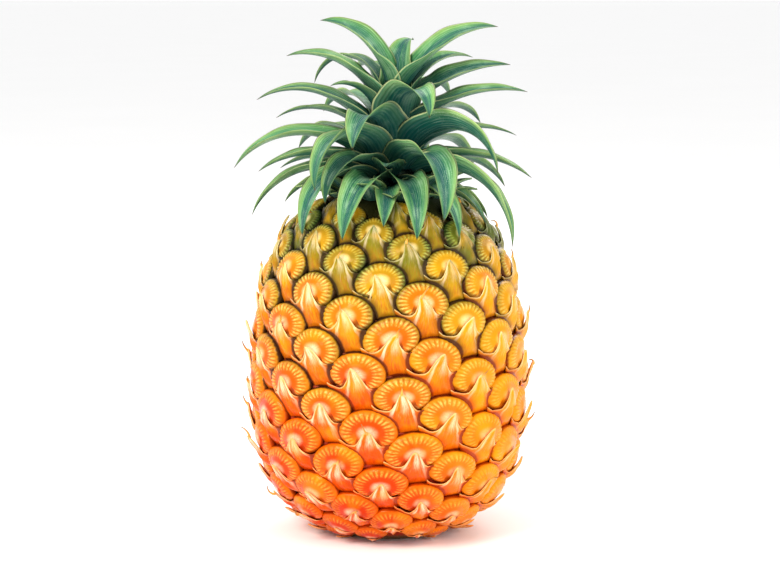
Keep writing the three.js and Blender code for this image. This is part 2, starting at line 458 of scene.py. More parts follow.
@dataclass(frozen=True)
class EyeShape:
    """The ribbed dome of an eye, by its own ellipse: 0 at the centre, 1 at its edge."""

    half_width: float = 13.9
    rise: float = 9.7
    fall: float = 8.0
    ribs: int = 28
    ribbed_from: float = 0.52
    rib_height: float = 0.26
    radii: tuple[float, ...] = (0.16, 0.32, 0.46, 0.56, 0.66, 0.8, 0.91, 0.975, 1.0)
    levels: tuple[float, ...] = (5.05, 4.85, 4.45, 4.15, 4.15, 3.7, 2.9, 1.8, -0.4)
    top: float = 5.1
    upper_segments: int = 40
    lower_segments: int = 8

    def reach(self, across: Number, along: Number) -> Number:
        """Returns how far out a point lies, as a share of the way to the edge."""
        return np.hypot(across / self.half_width, along / np.where(along > 0, self.rise, self.fall))

    def level(self, reach: Number) -> Number:
        """Returns the dome's height over the floor at a share of the way to the edge."""
        return np.interp(reach, (0.0,) + self.radii, (self.top,) + self.levels)

    def angle(self, segment: int) -> float:
        """Places a segment: two to a rib over the upper part, and few under the bract.

        Args:
            segment: The segment's number.

        Returns:
            Its angle.
        """
        step = math.pi / self.ribs
        start = math.pi / 2 - step * self.upper_segments / 2
        if segment <= self.upper_segments:
            return start + segment * step
        rest = (2 * math.pi - step * self.upper_segments) / self.lower_segments
        return start + self.upper_segments * step + (segment - self.upper_segments) * rest


@dataclass
class EyeDomes(Assembly):
    """All the eyes' domes, as one piece."""

    spiral: Spiral
    shape: EyeShape

    def template(self) -> bmesh.types.BMesh:
        """Makes one dome, closed below, from a sphere whose rings become the dome's rings."""
        shape = self.shape
        segments = shape.upper_segments + shape.lower_segments
        rings = len(shape.radii)
        bm = bmesh.new()
        bmesh.ops.create_uvsphere(bm, u_segments=segments, v_segments=rings + 1, radius=1.0)
        for vert in bm.verts:
            ring = round(math.acos(max(-1.0, min(1.0, vert.co.z))) / math.pi * (rings + 1))
            segment = round(math.atan2(vert.co.y, vert.co.x) / (2 * math.pi) * segments) % segments
            vert.co = self._dome_point(ring, segment)
        return bm

    def _dome_point(self, ring: int, segment: int) -> Vector:
        """Places a point of the dome.

        Args:
            ring: Its ring, from 0 at the top.
            segment: Its segment.

        Returns:
            The point, across, along and over the surface in millimetres.
        """
        shape = self.shape
        if ring == 0:
            return Vector((0, 0, shape.top))
        if ring > len(shape.radii):
            return Vector((0, 0, shape.levels[-1] - 0.6))
        angle = shape.angle(segment)
        reach = shape.radii[ring - 1]
        up = math.sin(angle)
        ribbed = ease(shape.ribbed_from, shape.ribbed_from + 0.12, reach) * ease(1.0, 0.9, reach)
        ribbed *= ease(-0.35, 0.1, up)
        rib = ribbed * shape.rib_height * math.cos(shape.ribs * (angle - math.pi / 2))
        along = reach * up * (shape.rise if up > 0 else shape.fall)
        return Vector((reach * math.cos(angle) * shape.half_width, along, shape.levels[ring - 1] + rib))

    def vary(self, eye: Eye, points: np.ndarray) -> np.ndarray:
        """Gives one eye its own size, turn and lean.

        Args:
            eye: The eye.
            points: The template's points.

        Returns:
            The eye's points, with their heights counted from the barrel's outline.
        """
        chance = random.Random(eye.number)
        turned = math.radians(chance.uniform(-7, 7))
        wide, tall = chance.uniform(0.94, 1.03), chance.uniform(0.93, 1.05)
        lean, skew = chance.uniform(-0.04, 0.04), chance.uniform(-0.12, 0.12)
        bumps = [chance.uniform(0, math.tau) for _ in range(2)]
        out = points.copy()
        out[:, 0] = wide * (points[:, 0] * math.cos(turned) - points[:, 1] * math.sin(turned))
        out[:, 1] = tall * (points[:, 0] * math.sin(turned) + points[:, 1] * math.cos(turned))
        out[:, 0] += skew * out[:, 1]
        swell = np.sin(out[:, 0] * 0.4 + bumps[0]) * np.cos(out[:, 1] * 0.45 + bumps[1])
        level = points[:, 2] * chance.uniform(0.92, 1.03) + 0.3 * swell
        out[:, 2] = level + out[:, 0] * lean + SkinLevel.FLOOR.value
        return out

    def build(self, eyes: Sequence[Eye]) -> bpy.types.Object:
        """Makes the piece, with a dome for each eye."""
        bm = scatter(self.template(), eyes, self.vary, self.spiral)
        return make_piece("fruit_eyes", bm, Slot.FRUIT.value, "fruit")


def scatter(template: bmesh.types.BMesh, eyes: Sequence[Eye],
            vary: Callable[[Eye, np.ndarray], np.ndarray], spiral: Spiral,
            notes: Sequence[float] = ()) -> bmesh.types.BMesh:
    """Copies a template to every eye.

    Args:
        template: The shape, across, along and over the surface in millimetres; it is freed.
        eyes: The eyes.
        vary: Gives an eye's own points from the template's.
        spiral: Places points on the barrel.
        notes: A number for each of the template's points, kept as the attribute "edge".

    Returns:
        The copies, with a map "local" of the template's own places, and an attribute "chance" that is
        alike all over an eye.
    """
    template.verts.index_update()
    shape = np.array([v.co[:] for v in template.verts])
    mesh = bpy.data.meshes.new("template")
    template.to_mesh(mesh)
    template.free()
    flat = 0.5 + shape[:, :2] / MAP_WIDTH
    bm = bmesh.new()
    local = bm.loops.layers.uv.new("local")
    chance = bm.verts.layers.float.new("chance")
    edge = bm.verts.layers.float.new("edge")
    for eye in eyes:
        first_vert, first_face = len(bm.verts), len(bm.faces)
        bm.from_mesh(mesh)
        bm.verts.ensure_lookup_table()
        bm.faces.ensure_lookup_table()
        placed = spiral.settle(eye, vary(eye, shape))
        luck = random.Random(eye.number + 1000).random()
        for number, vert in enumerate(bm.verts[first_vert:]):
            vert.co = placed[number]
            vert[chance] = luck
            vert[edge] = notes[number] if len(notes) else 0.0
            vert.index = number
        for face in bm.faces[first_face:]:
            for loop in face.loops:
                loop[local].uv = flat[loop.vert.index]
    bpy.data.meshes.remove(mesh)
    bmesh.ops.recalc_face_normals(bm, faces=bm.faces)
    return bm


@dataclass(frozen=True)
class BractShape:
    """The pointed bract under an eye: a thin tent whose tip hooks over the eye's centre."""

    tip_along: float = 1.9
    wing_along: float = -6.6
    neck: float = 4.0
    neck_power: float = 1.9
    wing_half_width: float = 13.8
    wing_rise: float = 3.4
    foot_half_width: float = 9.6
    foot_aside: float = 3.0
    foot_along: float = -18.5
    foot_rise: float = 2.5
    keel: float = 0.9
    keel_width: float = 1.1
    tent: float = 2.4
    tent_width: float = 5.5
    fold: float = 0.4
    tip_lift: float = 0.4
    clearance: float = 0.4
    side_sink: float = 1.3
    thickness: float = 0.3
    columns: int = 22
    rows: int = 11

    def margin(self, across: Number) -> Number:
        """Returns how far along its upper margin lies, by the distance across."""
        neck = np.exp(-(np.abs(across) / self.neck) ** self.neck_power)
        wing = (np.abs(across) / self.wing_half_width) ** 3
        return self.wing_along + (self.tip_along - self.wing_along) * neck + self.wing_rise * wing


@dataclass
class Bracts(Assembly):
    """All the bracts, as one piece. Each lies over a dome."""

    spiral: Spiral
    dome: EyeShape
    shape: BractShape

    def template(self) -> tuple[bmesh.types.BMesh, list[float]]:
        """Makes one bract from a grid, bent over the dome and thickened.

        Returns:
            The mesh, and for each point its share of the way from the foot to the upper margin.
        """
        shape = self.shape
        bm = bmesh.new()
        bmesh.ops.create_grid(bm, x_segments=shape.columns, y_segments=shape.rows, size=1.0)
        share = bm.verts.layers.float.new("share")
        for vert in bm.verts:
            column, row = vert.co.x, (vert.co.y + 1) / 2
            vert[share] = row
            vert.co = self._bract_point(column, row)
        bmesh.ops.recalc_face_normals(bm, faces=bm.faces)
        if sum(f.normal.z for f in bm.faces) < 0:
            bmesh.ops.reverse_faces(bm, faces=bm.faces)
        bmesh.ops.solidify(bm, geom=bm.faces[:], thickness=shape.thickness)
        shares = [v[share] for v in bm.verts]
        return bm, shares

    def _bract_point(self, column: float, row: float) -> Vector:
        """Places a point of the bract.

        Args:
            column: Its column, from -1 to 1.
            row: Its row, from 0 at the foot to 1 at the upper margin.

        Returns:
            The point, across, along and over the surface in millimetres.
        """
        shape = self.shape
        spread = math.copysign(abs(column) ** 1.4, column)
        opened = float(ease(0.0, 0.95, row))
        top = spread * shape.wing_half_width
        foot = shape.foot_aside + column * shape.foot_half_width
        across = foot + (top - foot) * opened
        lowest = shape.foot_along + shape.foot_rise * column ** 2
        along = lowest + (float(shape.margin(top)) - lowest) * row ** 0.85
        over = float(self.dome.level(self.dome.reach(across, along))) + shape.clearance
        middle = across - shape.foot_aside * (1 - opened)
        gentle = math.exp(-((abs(middle) / shape.tent_width) ** 1.4))
        risen = float(ease(shape.foot_along, -6.0, along))
        skirt = 0.5 + shape.tent * gentle * risen + 1.1 * risen
        fan = math.atan2(middle, shape.tip_along + 2.0 - along)
        skirt += shape.fold * risen * math.cos(9.0 * fan) * float(ease(1.0, 0.6, abs(fan)))
        skirt -= shape.side_sink * float(ease(0.6, 1.0, abs(column))) * (1 - float(ease(0.6, 0.95, row)))
        height = max(over, skirt) if row > 0.35 else skirt
        keel = shape.keel * math.exp(-abs(middle) / shape.keel_width) * float(ease(-15.0, -5.0, along))
        point = float(ease(-4.0, shape.tip_along, along)) * math.exp(-((across / 2.4) ** 2))
        sunk = -1.6 * (1 - float(ease(0.0, 0.3, row)))
        return Vector((across, along, height + keel + shape.tip_lift * point ** 1.5 + sunk))

    def vary(self, eye: Eye, points: np.ndarray) -> np.ndarray:
        """Gives one bract its own hook, curl and lift.

        Args:
            eye: The eye that it belongs to.
            points: The template's points.

        Returns:
            The bract's points, with their heights counted from the barrel's outline.
        """
        chance = random.Random(eye.number + 500)
        out = points.copy()
        near_tip = ease(-4.5, 2.0, points[:, 1]) * np.exp(-((points[:, 0] / 3.0) ** 2))
        out += near_tip[:, None] * self.hook(chance)
        wing = ease(6.0, 12.5, np.abs(points[:, 0])) * ease(-9.0, -4.5, points[:, 1])
        out[:, 2] += wing * chance.uniform(-0.1, 0.7)
        out[:, 1] += wing * chance.uniform(-0.8, 0.8)
        ripple = np.sin(points[:, 0] * chance.uniform(0.9, 1.5) + chance.uniform(0, 6))
        out[:, 1] += 0.25 * ripple * ease(-7.0, -4.0, points[:, 1])
        out[:, 2] = out[:, 2] * chance.uniform(0.95, 1.06) + SkinLevel.BRACT_FOOT.value
        return out

    @staticmethod
    def hook(chance: random.Random) -> np.ndarray:
        """Draws how a bract's tip is hooked.

        Args:
            chance: Where the draws come from.

        Returns:
            How far the tip is pulled aside, along and out, in millimetres.
        """
        aside, along = chance.uniform(-2.4, 2.4), chance.uniform(-0.6, 1.6)
        lift = chance.uniform(-0.9, 0.3) + (1.3 if chance.random() < 0.12 else 0.0)
        return np.array([aside, along, lift])

    def build(self, eyes: Sequence[Eye]) -> bpy.types.Object:
        """Makes the piece, with a bract for each eye."""
        template, shares = self.template()
        bm = scatter(template, eyes, self.vary, self.spiral, shares)
        return make_piece("fruit_bracts", bm, Slot.FRUIT.value, "fruit")


@dataclass(frozen=True)
class WispShape:
    """The dry, curled thread that some bracts end in, in millimetres and radians."""

    length: float = 6.8
    width: float = 1.35
    root: float = 1.6
    share: float = 0.45
    curls: tuple[tuple[float, float], ...] = ((1.25, -2.1), (-0.1, 1.5), (0.7, -2.8), (0.9, -0.9))
    lowest: float = 0.12
    taper: float = 0.75
    stations: int = 10
    around: int = 5


@dataclass
class Wisps(Assembly):
    """The threads at the tips of some bracts, as one piece."""

    bracts: Bracts
    shape: WispShape
    tip: np.ndarray = field(init=False)

    def __post_init__(self) -> None:
        """Works out where a bract's tip is."""
        bract, dome, shape = self.bracts.shape, self.bracts.dome, self.shape
        over = float(dome.level(dome.reach(0.0, bract.tip_along))) + bract.clearance
        height = over + bract.keel + bract.tip_lift + SkinLevel.BRACT_FOOT.value
        self.tip = np.array([0.0, bract.tip_along - shape.root, height - shape.width / 2])

    def template(self) -> bmesh.types.BMesh:
        """Makes one straight thread, that tapers, from a sphere whose rings become its sections."""
        shape = self.shape
        bm = bmesh.new()
        bmesh.ops.create_uvsphere(bm, u_segments=shape.around, v_segments=shape.stations, radius=1.0)
        for vert in bm.verts:
            share = (1 + vert.co.z) / 2
            flat = Vector((vert.co.x, vert.co.y))
            girth = shape.width / 2 * (1 - shape.taper * share) if flat.length > 0.01 else 0.0
            flat = flat.normalized() * girth
            vert.co = Vector((flat.x, share * shape.length, flat.y))
        return bm

    def vary(self, eye: Eye, points: np.ndarray) -> np.ndarray:
        """Curls one thread and moves it to its bract's tip.

        Args:
            eye: The eye whose bract ends in it.
            points: The template's points.

        Returns:
            The thread's points, with their heights counted from the barrel's outline.
        """
        chance = random.Random(eye.number + 900)
        start, turn = chance.choice(self.shape.curls)
        turn *= chance.uniform(0.7, 1.25)
        length = self.shape.length * chance.uniform(0.45, 1.0)
        aside = chance.uniform(-0.7, 0.7)
        share = points[:, 1] / self.shape.length
        heading = start + turn * share
        across = points[:, 0] + aside * length * share ** 1.5
        along = length / turn * (np.sin(heading) - math.sin(start)) - np.sin(heading) * points[:, 2]
        lift = length / turn * (math.cos(start) - np.cos(heading)) + np.cos(heading) * points[:, 2]
        tip = self.tip + Bracts.hook(random.Random(eye.number + 500))
        return np.stack([across, along, lift], axis=1) + tip

    def build(self, eyes: Sequence[Eye]) -> bpy.types.Object:
        """Makes the piece.

        Args:
            eyes: The eyes, of which some are picked.

        Returns:
            The piece.
        """
        chance = random.Random(21)
        picked = [eye for eye in eyes if chance.random() < self.shape.share
                  and eye.height_share > self.shape.lowest]
        bm = scatter(self.template(), picked, self.vary, self.bracts.spiral)
        return make_piece("fruit_wisps", bm, Slot.FRUIT.value, "fruit")


@dataclass
class FruitFloor(Assembly):
    """The skin between the eyes, and the flat base with the scar of the stalk. Its outline is radii and
    heights in millimetres."""

    barrel: Barrel
    base: tuple[tuple[float, float], ...] = (
        (0, 1.6), (4, 1.5), (8, 1.8), (9.5, 0.5), (11, 0.0), (21, 0.0), (24, 0.5), (26, 2.4))
    neck: tuple[tuple[float, float], ...] = ((22, -1.5), (0, -0.5))
    margin: float = 4.0
    rings: int = 60
    sides: int = 180

    def build(self) -> bpy.types.Object:
        """Spins the outline, a little inside the eyes, into the piece that stands for the fruit."""
        along = np.linspace(self.margin, self.barrel.length - self.margin, self.rings)
        depth = np.full(self.rings, SkinLevel.FLOOR.value)
        side = self.barrel.place(np.zeros(self.rings), along, depth)
        points = [Vector((r * MM, 0, z * MM)) for r, z in self.base]
        points += [Vector((p[0], 0, p[2])) for p in side]
        points += [Vector((r * MM, 0, (self.barrel.height + z) * MM)) for r, z in self.neck]
        bm = bmesh.new()
        verts = [bm.verts.new(p) for p in points]
        edges = [bm.edges.new(pair) for pair in zip(verts, verts[1:])]
        bmesh.ops.spin(bm, geom=verts + edges, cent=(0, 0, 0), axis=(0, 0, 1), angle=math.tau,
                       steps=self.sides, use_merge=True)
        bmesh.ops.remove_doubles(bm, verts=bm.verts, dist=1e-6)
        bmesh.ops.recalc_face_normals(bm, faces=bm.faces)
        return make_piece("fruit_floor", bm, Slot.FRUIT.value, "fruit")


# ---------------------------------------------------------------- finishes of the fruit


@dataclass(frozen=True)
class FruitFinish:
    """Colours of the fruit by height, from the base at 0 to the neck at 1."""

    height: float
    core: Stops = ((0.0, "CC3800"), (0.3, "D64202"), (0.52, "E06004"), (0.7, "E08A08"), (0.86, "D0A014"),
                   (1.0, "86881E"))
    rim: Stops = ((0.0, "DC5602"), (0.3, "DC6005"), (0.5, "CE740C"), (0.66, "88700E"), (0.8, "42500E"),
                  (1.0, "16300F"))
    rib: Stops = ((0.0, "F88E36"), (0.3, "FFAA48"), (0.6, "FACC6E"), (0.8, "D8CA6A"), (1.0, "869C4C"))
    ring: Stops = ((0.0, "C02201"), (0.4, "C83402"), (0.7, "C25A08"), (0.86, "8A6410"), (1.0, "3E4A1A"))
    # The next stops are painted crevice shade: the dark lines where the creases between the eyes lie in
    # shadow.
    outline: Stops = ((0.0, "A82E04"), (0.3, "8E2606"), (0.48, "64190A"), (0.64, "220A10"), (1.0, "080D08"))
    bract: Stops = ((0.0, "DE4600"), (0.35, "E25804"), (0.6, "E07E0C"), (0.76, "BE9016"), (0.88, "6E741A"),
                    (1.0, "345020"))
    # The next stops are painted shade on the bracts' flanks and in the creases against the next eyes.
    bract_shade: Stops = ((0.0, "C83202"), (0.4, "D04A03"), (0.6, "AE5206"), (0.76, "5E4C0A"),
                         (1.0, "14280E"))
    # The next stops are the bracts' pale striping and margin, partly their own colour and partly a painted
    # highlight.
    streak_highlight: Stops = ((0.0, "FFA656"), (0.4, "FFC47A"), (0.75, "F6DC9A"), (1.0, "A8B47A"))
    # The next colour is the painted highlight on the domes' middles and on the bracts below their tips.
    pale: str = "FFE9C2"
    yellow: str = "F2A80C"
    sheen: str = "FFC878"
    crimson: str = "A01606"

    def ripeness(self, sheet: NodeSheet) -> Wire:
        """Tells how far up the fruit a point is, in patches, with one side a little less ripe.

        Args:
            sheet: Where the nodes go.

        Returns:
            The share of the fruit's height.
        """
        place = sheet.point()
        across, _, up = sheet.split(place)
        patches = (sheet.noise(place, 22.0, 2.0) - 0.5) * 0.16
        return up * (1 / (self.height * MM)) + patches + across * 0.5

    def gloss(self) -> dict[str, Union[float, Colour]]:
        """Returns the shader's sockets for a waxy, faintly amber gloss."""
        return {"Specular IOR Level": 0.22, "Specular Tint": tone(self.sheen), "Coat Weight": 0.07,
                "Coat Roughness": 0.12}

    def warmed(self, sheet: NodeSheet, colour: Wire) -> Wire:
        """Yellows the side of the fruit that faces +X."""
        across, _, up = sheet.split(sheet.point())
        return sheet.mix(across.step(0.005, 0.05) * up.step(0.135, 0.095) * 0.48, colour, self.yellow)

    def crevice_shade(self, sheet: NodeSheet, ripe: Wire) -> Wire:
        """Returns the colour of the painted crevice shade round the eyes, near black further down on the side
        that faces -X.
        """
        across, _, _ = sheet.split(sheet.point())
        return sheet.ramp(ripe - across * 3.2, self.outline)

    def eye_skin(self, dome: EyeShape, bract: BractShape) -> bpy.types.Material:
        """Makes the domes' skin: pale ribs round the rim with painted shade in the grooves between them, a
        deep ring, a painted highlight on the raised middle, painted crevice shade at the edge, and a painted
        shadow along the margin of the bract that lies over them.

        Args:
            dome: The shape of a dome.
            bract: The shape of the bract over it.

        Returns:
            The material.
        """
        sheet = NodeSheet("eye_skin")
        ripe = self.ripeness(sheet) + (sheet.attribute("chance") - 0.5) * 0.2
        across, along = sheet.uv("local")
        right, up = (across - 0.5) * MAP_WIDTH, (along - 0.5) * MAP_WIDTH
        x, y = right * (1 / dome.half_width), up * (1 / dome.rise)
        reach = x.hypot(y)
        wobble = sheet.noise(sheet.point(), 260.0, 2.0) - 0.5
        angle = y.angle(x) - math.pi / 2
        rib = (angle * float(dome.ribs) + wobble * 2.4).cos() * 0.5 + 0.5
        broken = sheet.noise(sheet.join(angle * 3.0, reach * 2.0, ripe * 9.0), 4.0, 2.0)
        inner, outer = reach + wobble * 0.1, reach + wobble * 0.05
        band = inner.step(0.48, 0.66) * outer.step(0.93, 0.76)
        ribs = rib * band * (broken.step(0.36, 0.64) * 0.85 + 0.15)
        ring = inner.step(0.24, 0.4) * inner.step(0.66, 0.5)
        # Painted highlight on the raised middle of the dome, under the bract's tip.
        cushion_highlight = inner.step(0.4, 0.1) * (broken.step(0.25, 0.6) * 0.5 + 0.5)
        colour = sheet.mix(inner.step(0.5, 0.85), sheet.ramp(ripe, self.core), sheet.ramp(ripe, self.rim))
        colour = sheet.mix(ring * 0.7, colour, sheet.ramp(ripe, self.ring))
        # The colour of the painted crevice shade.
        dark = self.crevice_shade(sheet, ripe)
        unripe = ripe.step(0.42, 0.75)
        # Painted shade in the grooves between the ribs, near black towards the rim further up the fruit.
        rib_groove_shade = (1.0 - rib) * band
        colour = sheet.mix(rib_groove_shade * 0.5, colour, sheet.ramp(ripe, self.ring))
        colour = sheet.mix(rib_groove_shade * unripe * outer.step(0.6, 0.9) * 0.6, colour, dark)
        colour = sheet.mix(ribs * 0.8, colour, sheet.ramp(ripe, self.rib))
        colour = sheet.mix(cushion_highlight * 0.7, colour, self.pale)
        blush = sheet.noise(sheet.point(), 75.0, 3.0).step(0.45, 0.7)
        colour = sheet.mix(blush * 0.34, colour, self.yellow)
        # Painted shadow: a dark line just under the margin of the bract that lies over the dome.
        neck = (abs(right) * (1 / bract.neck)) ** bract.neck_power
        fallen = 1.0 - neck.step(0.0, 2.6)
        wing = (abs(right) * (1 / bract.wing_half_width)) ** 3.0
        margin = fallen * (bract.tip_along - bract.wing_along) + wing * bract.wing_rise + bract.wing_along
        bract_shadow = (up - margin + wobble * 0.8).step(1.6, 0.5) * reach.step(0.25, 0.5)
        # Painted crevice shade along the dome's edge, wider further up the fruit.
        edge = (outer + unripe * 0.07).step(0.93, 0.995)
        colour = self.warmed(sheet, colour)
        colour = sheet.mix(bract_shadow * 0.65, colour, dark)
        colour = sheet.mix(edge * 0.95, colour, dark)
        relief = rib * band * 0.6 + sheet.noise(sheet.point(), 900.0, 3.0) * 0.25
        return sheet.finish(colour, 0.3, relief, 0.00022, self.gloss())

    def bract_skin(self, spiral: Spiral, dome: EyeShape) -> bpy.types.Material:
        """Makes the bracts' skin: painted highlights that fan out from the tip along two fold lines and in a
        broad patch, pale striping and a pale margin that are partly the bract's own colour and partly painted
        highlight, painted shade on the flanks, and painted crevice shade where the next eyes' rims stand
        against it.

        Args:
            spiral: The spiral, which tells where the next eyes are.
            dome: The shape of a dome.

        Returns:
            The material.
        """
        sheet = NodeSheet("bract_skin")
        luck = sheet.attribute("chance")
        ripe = self.ripeness(sheet) + (luck - 0.5) * 0.14
        across, along = sheet.uv("local")
        x, y = (across - 0.5) * MAP_WIDTH, (along - 0.5) * MAP_WIDTH
        fan = x.angle((y - 4.0) * -1.0)
        far = x.hypot(y - 4.0)
        grain = sheet.noise(sheet.join(fan * 9.0, far * 0.09, luck * 20.0), 2.2, 4.0, 0.6)
        fine = sheet.noise(sheet.join(fan * 30.0, far * 0.16, luck * 20.0), 2.0, 2.0)
        bent = fan + (grain - 0.5) * 0.25 + (luck - 0.5) * 0.2
        # Pale striping, partly the bract's own and partly a painted highlight.
        streak_highlights = grain.step(0.52, 0.7) * far.step(2.0, 5.0) * far.step(17.0, 8.0)
        # Painted highlights along two fold lines that run down from the tip.
        fold_highlights = abs(bent + 0.38).step(0.1, 0.01).most(abs(bent - 0.46).step(0.09, 0.01))
        fold_highlights = fold_highlights * far.step(3.0, 6.0) * far.step(21.0, 13.0)
        # A broad painted highlight just below the tip.
        broad_highlight = abs(bent - 0.14).step(0.3, 0.05) * far.step(1.5, 4.0) * far.step(12.0, 5.0)
        ripened = ripe.step(1.0, 0.72) * 0.7 + 0.3
        # Painted shade on the bract's flanks.
        side = (abs(fan) + (grain - 0.5) * 0.5).step(0.35, 1.1) * far.step(4.0, 9.0)
        colour = sheet.mix(side * 0.9, sheet.ramp(ripe, self.bract), sheet.ramp(ripe, self.bract_shade))
        deep = fine.step(0.62, 0.36) * far.step(3.0, 8.0)
        colour = sheet.mix(deep * 0.55, colour, sheet.ramp(ripe, self.ring))
        colour = sheet.mix(streak_highlights * 0.4, colour, sheet.ramp(ripe, self.streak_highlight))
        colour = sheet.mix(fold_highlights * ripened * 0.68, colour, self.pale)
        colour = sheet.mix(broad_highlight * ripened * fine.step(0.3, 0.55) * 0.8, colour, self.pale)
        blood = grain.step(0.4, 0.6) * far.step(10.0, 15.0) * ripe.step(0.95, 0.75)
        colour = sheet.mix(blood * 0.4, colour, self.crimson)
        gold = sheet.noise(sheet.point(), 62.0, 2.0).step(0.46, 0.66)
        colour = self.warmed(sheet, sheet.mix(gold * 0.38, colour, self.yellow))
        # Pale margin, partly the bract's own colour and partly a painted highlight.
        margin = sheet.attribute("edge").step(0.93, 0.99)
        colour = sheet.mix(margin * 0.8, colour, sheet.ramp(ripe, self.streak_highlight))
        # Painted crevice shade where the rims of the next eyes below stand against the bract.
        rim = None
        for steps in (8, 13, 21):
            aside, below = spiral.neighbour(steps)
            reach = ((x - aside) * (1 / dome.half_width)).hypot((y - below) * (1 / dome.rise))
            rim = reach if rim is None else rim.least(reach)
        wobble = (sheet.noise(sheet.point(), 260.0, 2.0) - 0.5) * 0.08
        near = rim + wobble - ripe.step(0.42, 0.75) * 0.02
        colour = sheet.mix(near.step(1.26, 1.0) * 0.75, colour, sheet.ramp(ripe, self.bract_shade))
        colour = sheet.mix(near.step(1.06, 0.98) * 0.9, colour, self.crevice_shade(sheet, ripe))
        relief = grain * 0.6 + fine * 0.4
        return sheet.finish(colour, 0.3, relief, 0.0002, self.gloss())

    def wisp_skin(self) -> bpy.types.Material:
        """Makes the threads' skin: amber at the root, dry and brown at the tip."""
        sheet = NodeSheet("wisp_skin")
        _, along = sheet.uv("local")
        grain = sheet.noise(sheet.point(), 500.0)
        colour = sheet.mix((along + (grain - 0.5) * 0.06).step(0.53, 0.74), "E8A03C", "80591C")
        return sheet.finish(colour, 0.5, grain, 0.0001)

    def floor_skin(self) -> bpy.types.Material:
        """Makes the skin between the eyes, dark all over as painted shade in the creases where it shows, and
        the fibrous scar under the base.
        """
        sheet = NodeSheet("floor_skin")
        place = sheet.point()
        across, deep, up = sheet.split(place)
        radius = across.hypot(deep)
        fibre = sheet.noise(sheet.join(across * 1.0, deep * 1.0, up * 0.2), 900.0, 3.0)
        scar = sheet.mix(fibre.step(0.4, 0.62), "8A6A3C", "C9AE78")
        scar = sheet.mix(radius.step(0.0102, 0.0088), "6B4A26", scar)
        ripe = self.ripeness(sheet)
        # The whole skin is dark, as painted shade in the creases between the eyes.
        colour = sheet.mix(0.45, sheet.ramp(ripe, self.ring), sheet.ramp(ripe, self.outline))
        under = up.step(0.0036, 0.0016)
        colour = sheet.mix(under, colour, scar)
        return sheet.finish(colour, 0.6, fibre, 0.0004)


# ---------------------------------------------------------------- the crown's leaves


@dataclass(frozen=True)
class LeafSection:
    """A leaf's cross-section at one station."""

    centre: Vector
    left: Vector
    upper: Vector
    width: float
    depth: float


class LeafSpine:
    """A leaf's own line and sections, read from its node in the frame."""

    def __init__(self, node: str) -> None:
        """Reads the node."""
        bm = bmesh.new()
        bm.from_mesh(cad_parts[node].data)
        bmesh.ops.remove_doubles(bm, verts=bm.verts, dist=1e-5)
        self.sections = self._read(self._trace(bm))
        bm.free()

    @staticmethod
    def _trace(bm: bmesh.types.BMesh) -> list[list[Vector]]:
        """Follows a leaf from its tip down.

        Args:
            bm: The leaf, of rings of four points that run down from a single tip.

        Returns:
            The rings' points, the tip first.
        """
        ends = [v for v in bm.verts if len(v.link_edges) == 4]
        ring = [max(ends, key=lambda v: math.hypot(v.co.x, v.co.y))]
        rings: list[list[Vector]] = []
        seen = set(ring)
        while ring and (not rings or len(ring) == 4):
            rings.append([v.co.copy() for v in ring])
            beyond = [e.other_vert(v) for v in ring for e in v.link_edges]
            ring = [v for v in dict.fromkeys(beyond) if v not in seen]
            seen.update(ring)
        return rings

    @staticmethod
    def _read(rings: list[list[Vector]]) -> list[LeafSection]:
        """Tells each ring's margins from its midrib, from the root to the tip.

        Args:
            rings: The rings' points, the tip first.

        Returns:
            The sections, the root first.
        """
        found: list[LeafSection] = []
        middles, margins = [], []
        for ring in rings[1:]:
            pairs = [(a, b) for i, a in enumerate(ring) for b in ring[i + 1:]]
            wide = max(pairs, key=lambda p: (p[0] - p[1]).length)
            middle = [p for p in ring if p not in wide]
            margins.append(wide)
            middles.append((middle[0] + middle[1]) / 2)
        middles.insert(0, rings[0][0])
        left = None
        for number in range(1, len(middles)):
            wide = margins[number - 1]
            inner = middles[min(number + 1, len(middles) - 1)]
            along = (middles[number - 1] - inner).normalized()
            side = wide[0] - wide[1]
            rise = (wide[0] + wide[1]) / 2 - middles[number]
            if left is None:
                side = side if along.cross(side).dot(rise) > 0 else -side
            else:
                side = side if side.dot(left) > 0 else -side
            left = side.normalized()
            upper = along.cross(left).normalized()
            found.append(LeafSection(middles[number], left, upper, side.length, rise.dot(upper)))
        last = found[0]
        tip = LeafSection(rings[0][0], last.left, last.upper, 0.0, 0.0)
        return found[::-1] + [tip]

    def at(self, share: float) -> LeafSection:
        """Finds the smooth section at one place.

        Args:
            share: The place, as a share of the leaf's length.

        Returns:
            The section.
        """
        place = share * (len(self.sections) - 1)
        number = min(int(place), len(self.sections) - 2)
        t = place - number
        last = len(self.sections) - 1
        picks = [self.sections[min(max(number + k, 0), last)] for k in (-1, 0, 1, 2)]
        weights = (-0.5 * t ** 3 + t ** 2 - 0.5 * t, 1.5 * t ** 3 - 2.5 * t ** 2 + 1,
                   -1.5 * t ** 3 + 2 * t ** 2 + 0.5 * t, 0.5 * t ** 3 - 0.5 * t ** 2)

        def blend(values: Sequence) -> Union[Vector, float]:
            """Weighs four values.

            Args:
                values: The values, one at each of the four sections.

            Returns:
                Their weighted sum.
            """
            total = values[0] * weights[0]
            for value, weight in zip(values[1:], weights[1:]):
                total = total + value * weight
            return total

        left = blend([p.left for p in picks]).normalized()
        upper = blend([p.upper for p in picks]).normalized()
        centre = blend([p.centre for p in picks])
        return LeafSection(centre, left, upper, max(blend([p.width for p in picks]), 0.0),
                           blend([p.depth for p in picks]))


class LeafFace(Enum):
    """Which material a face of a leaf takes."""

    UPPER = 0
    UNDER = 1


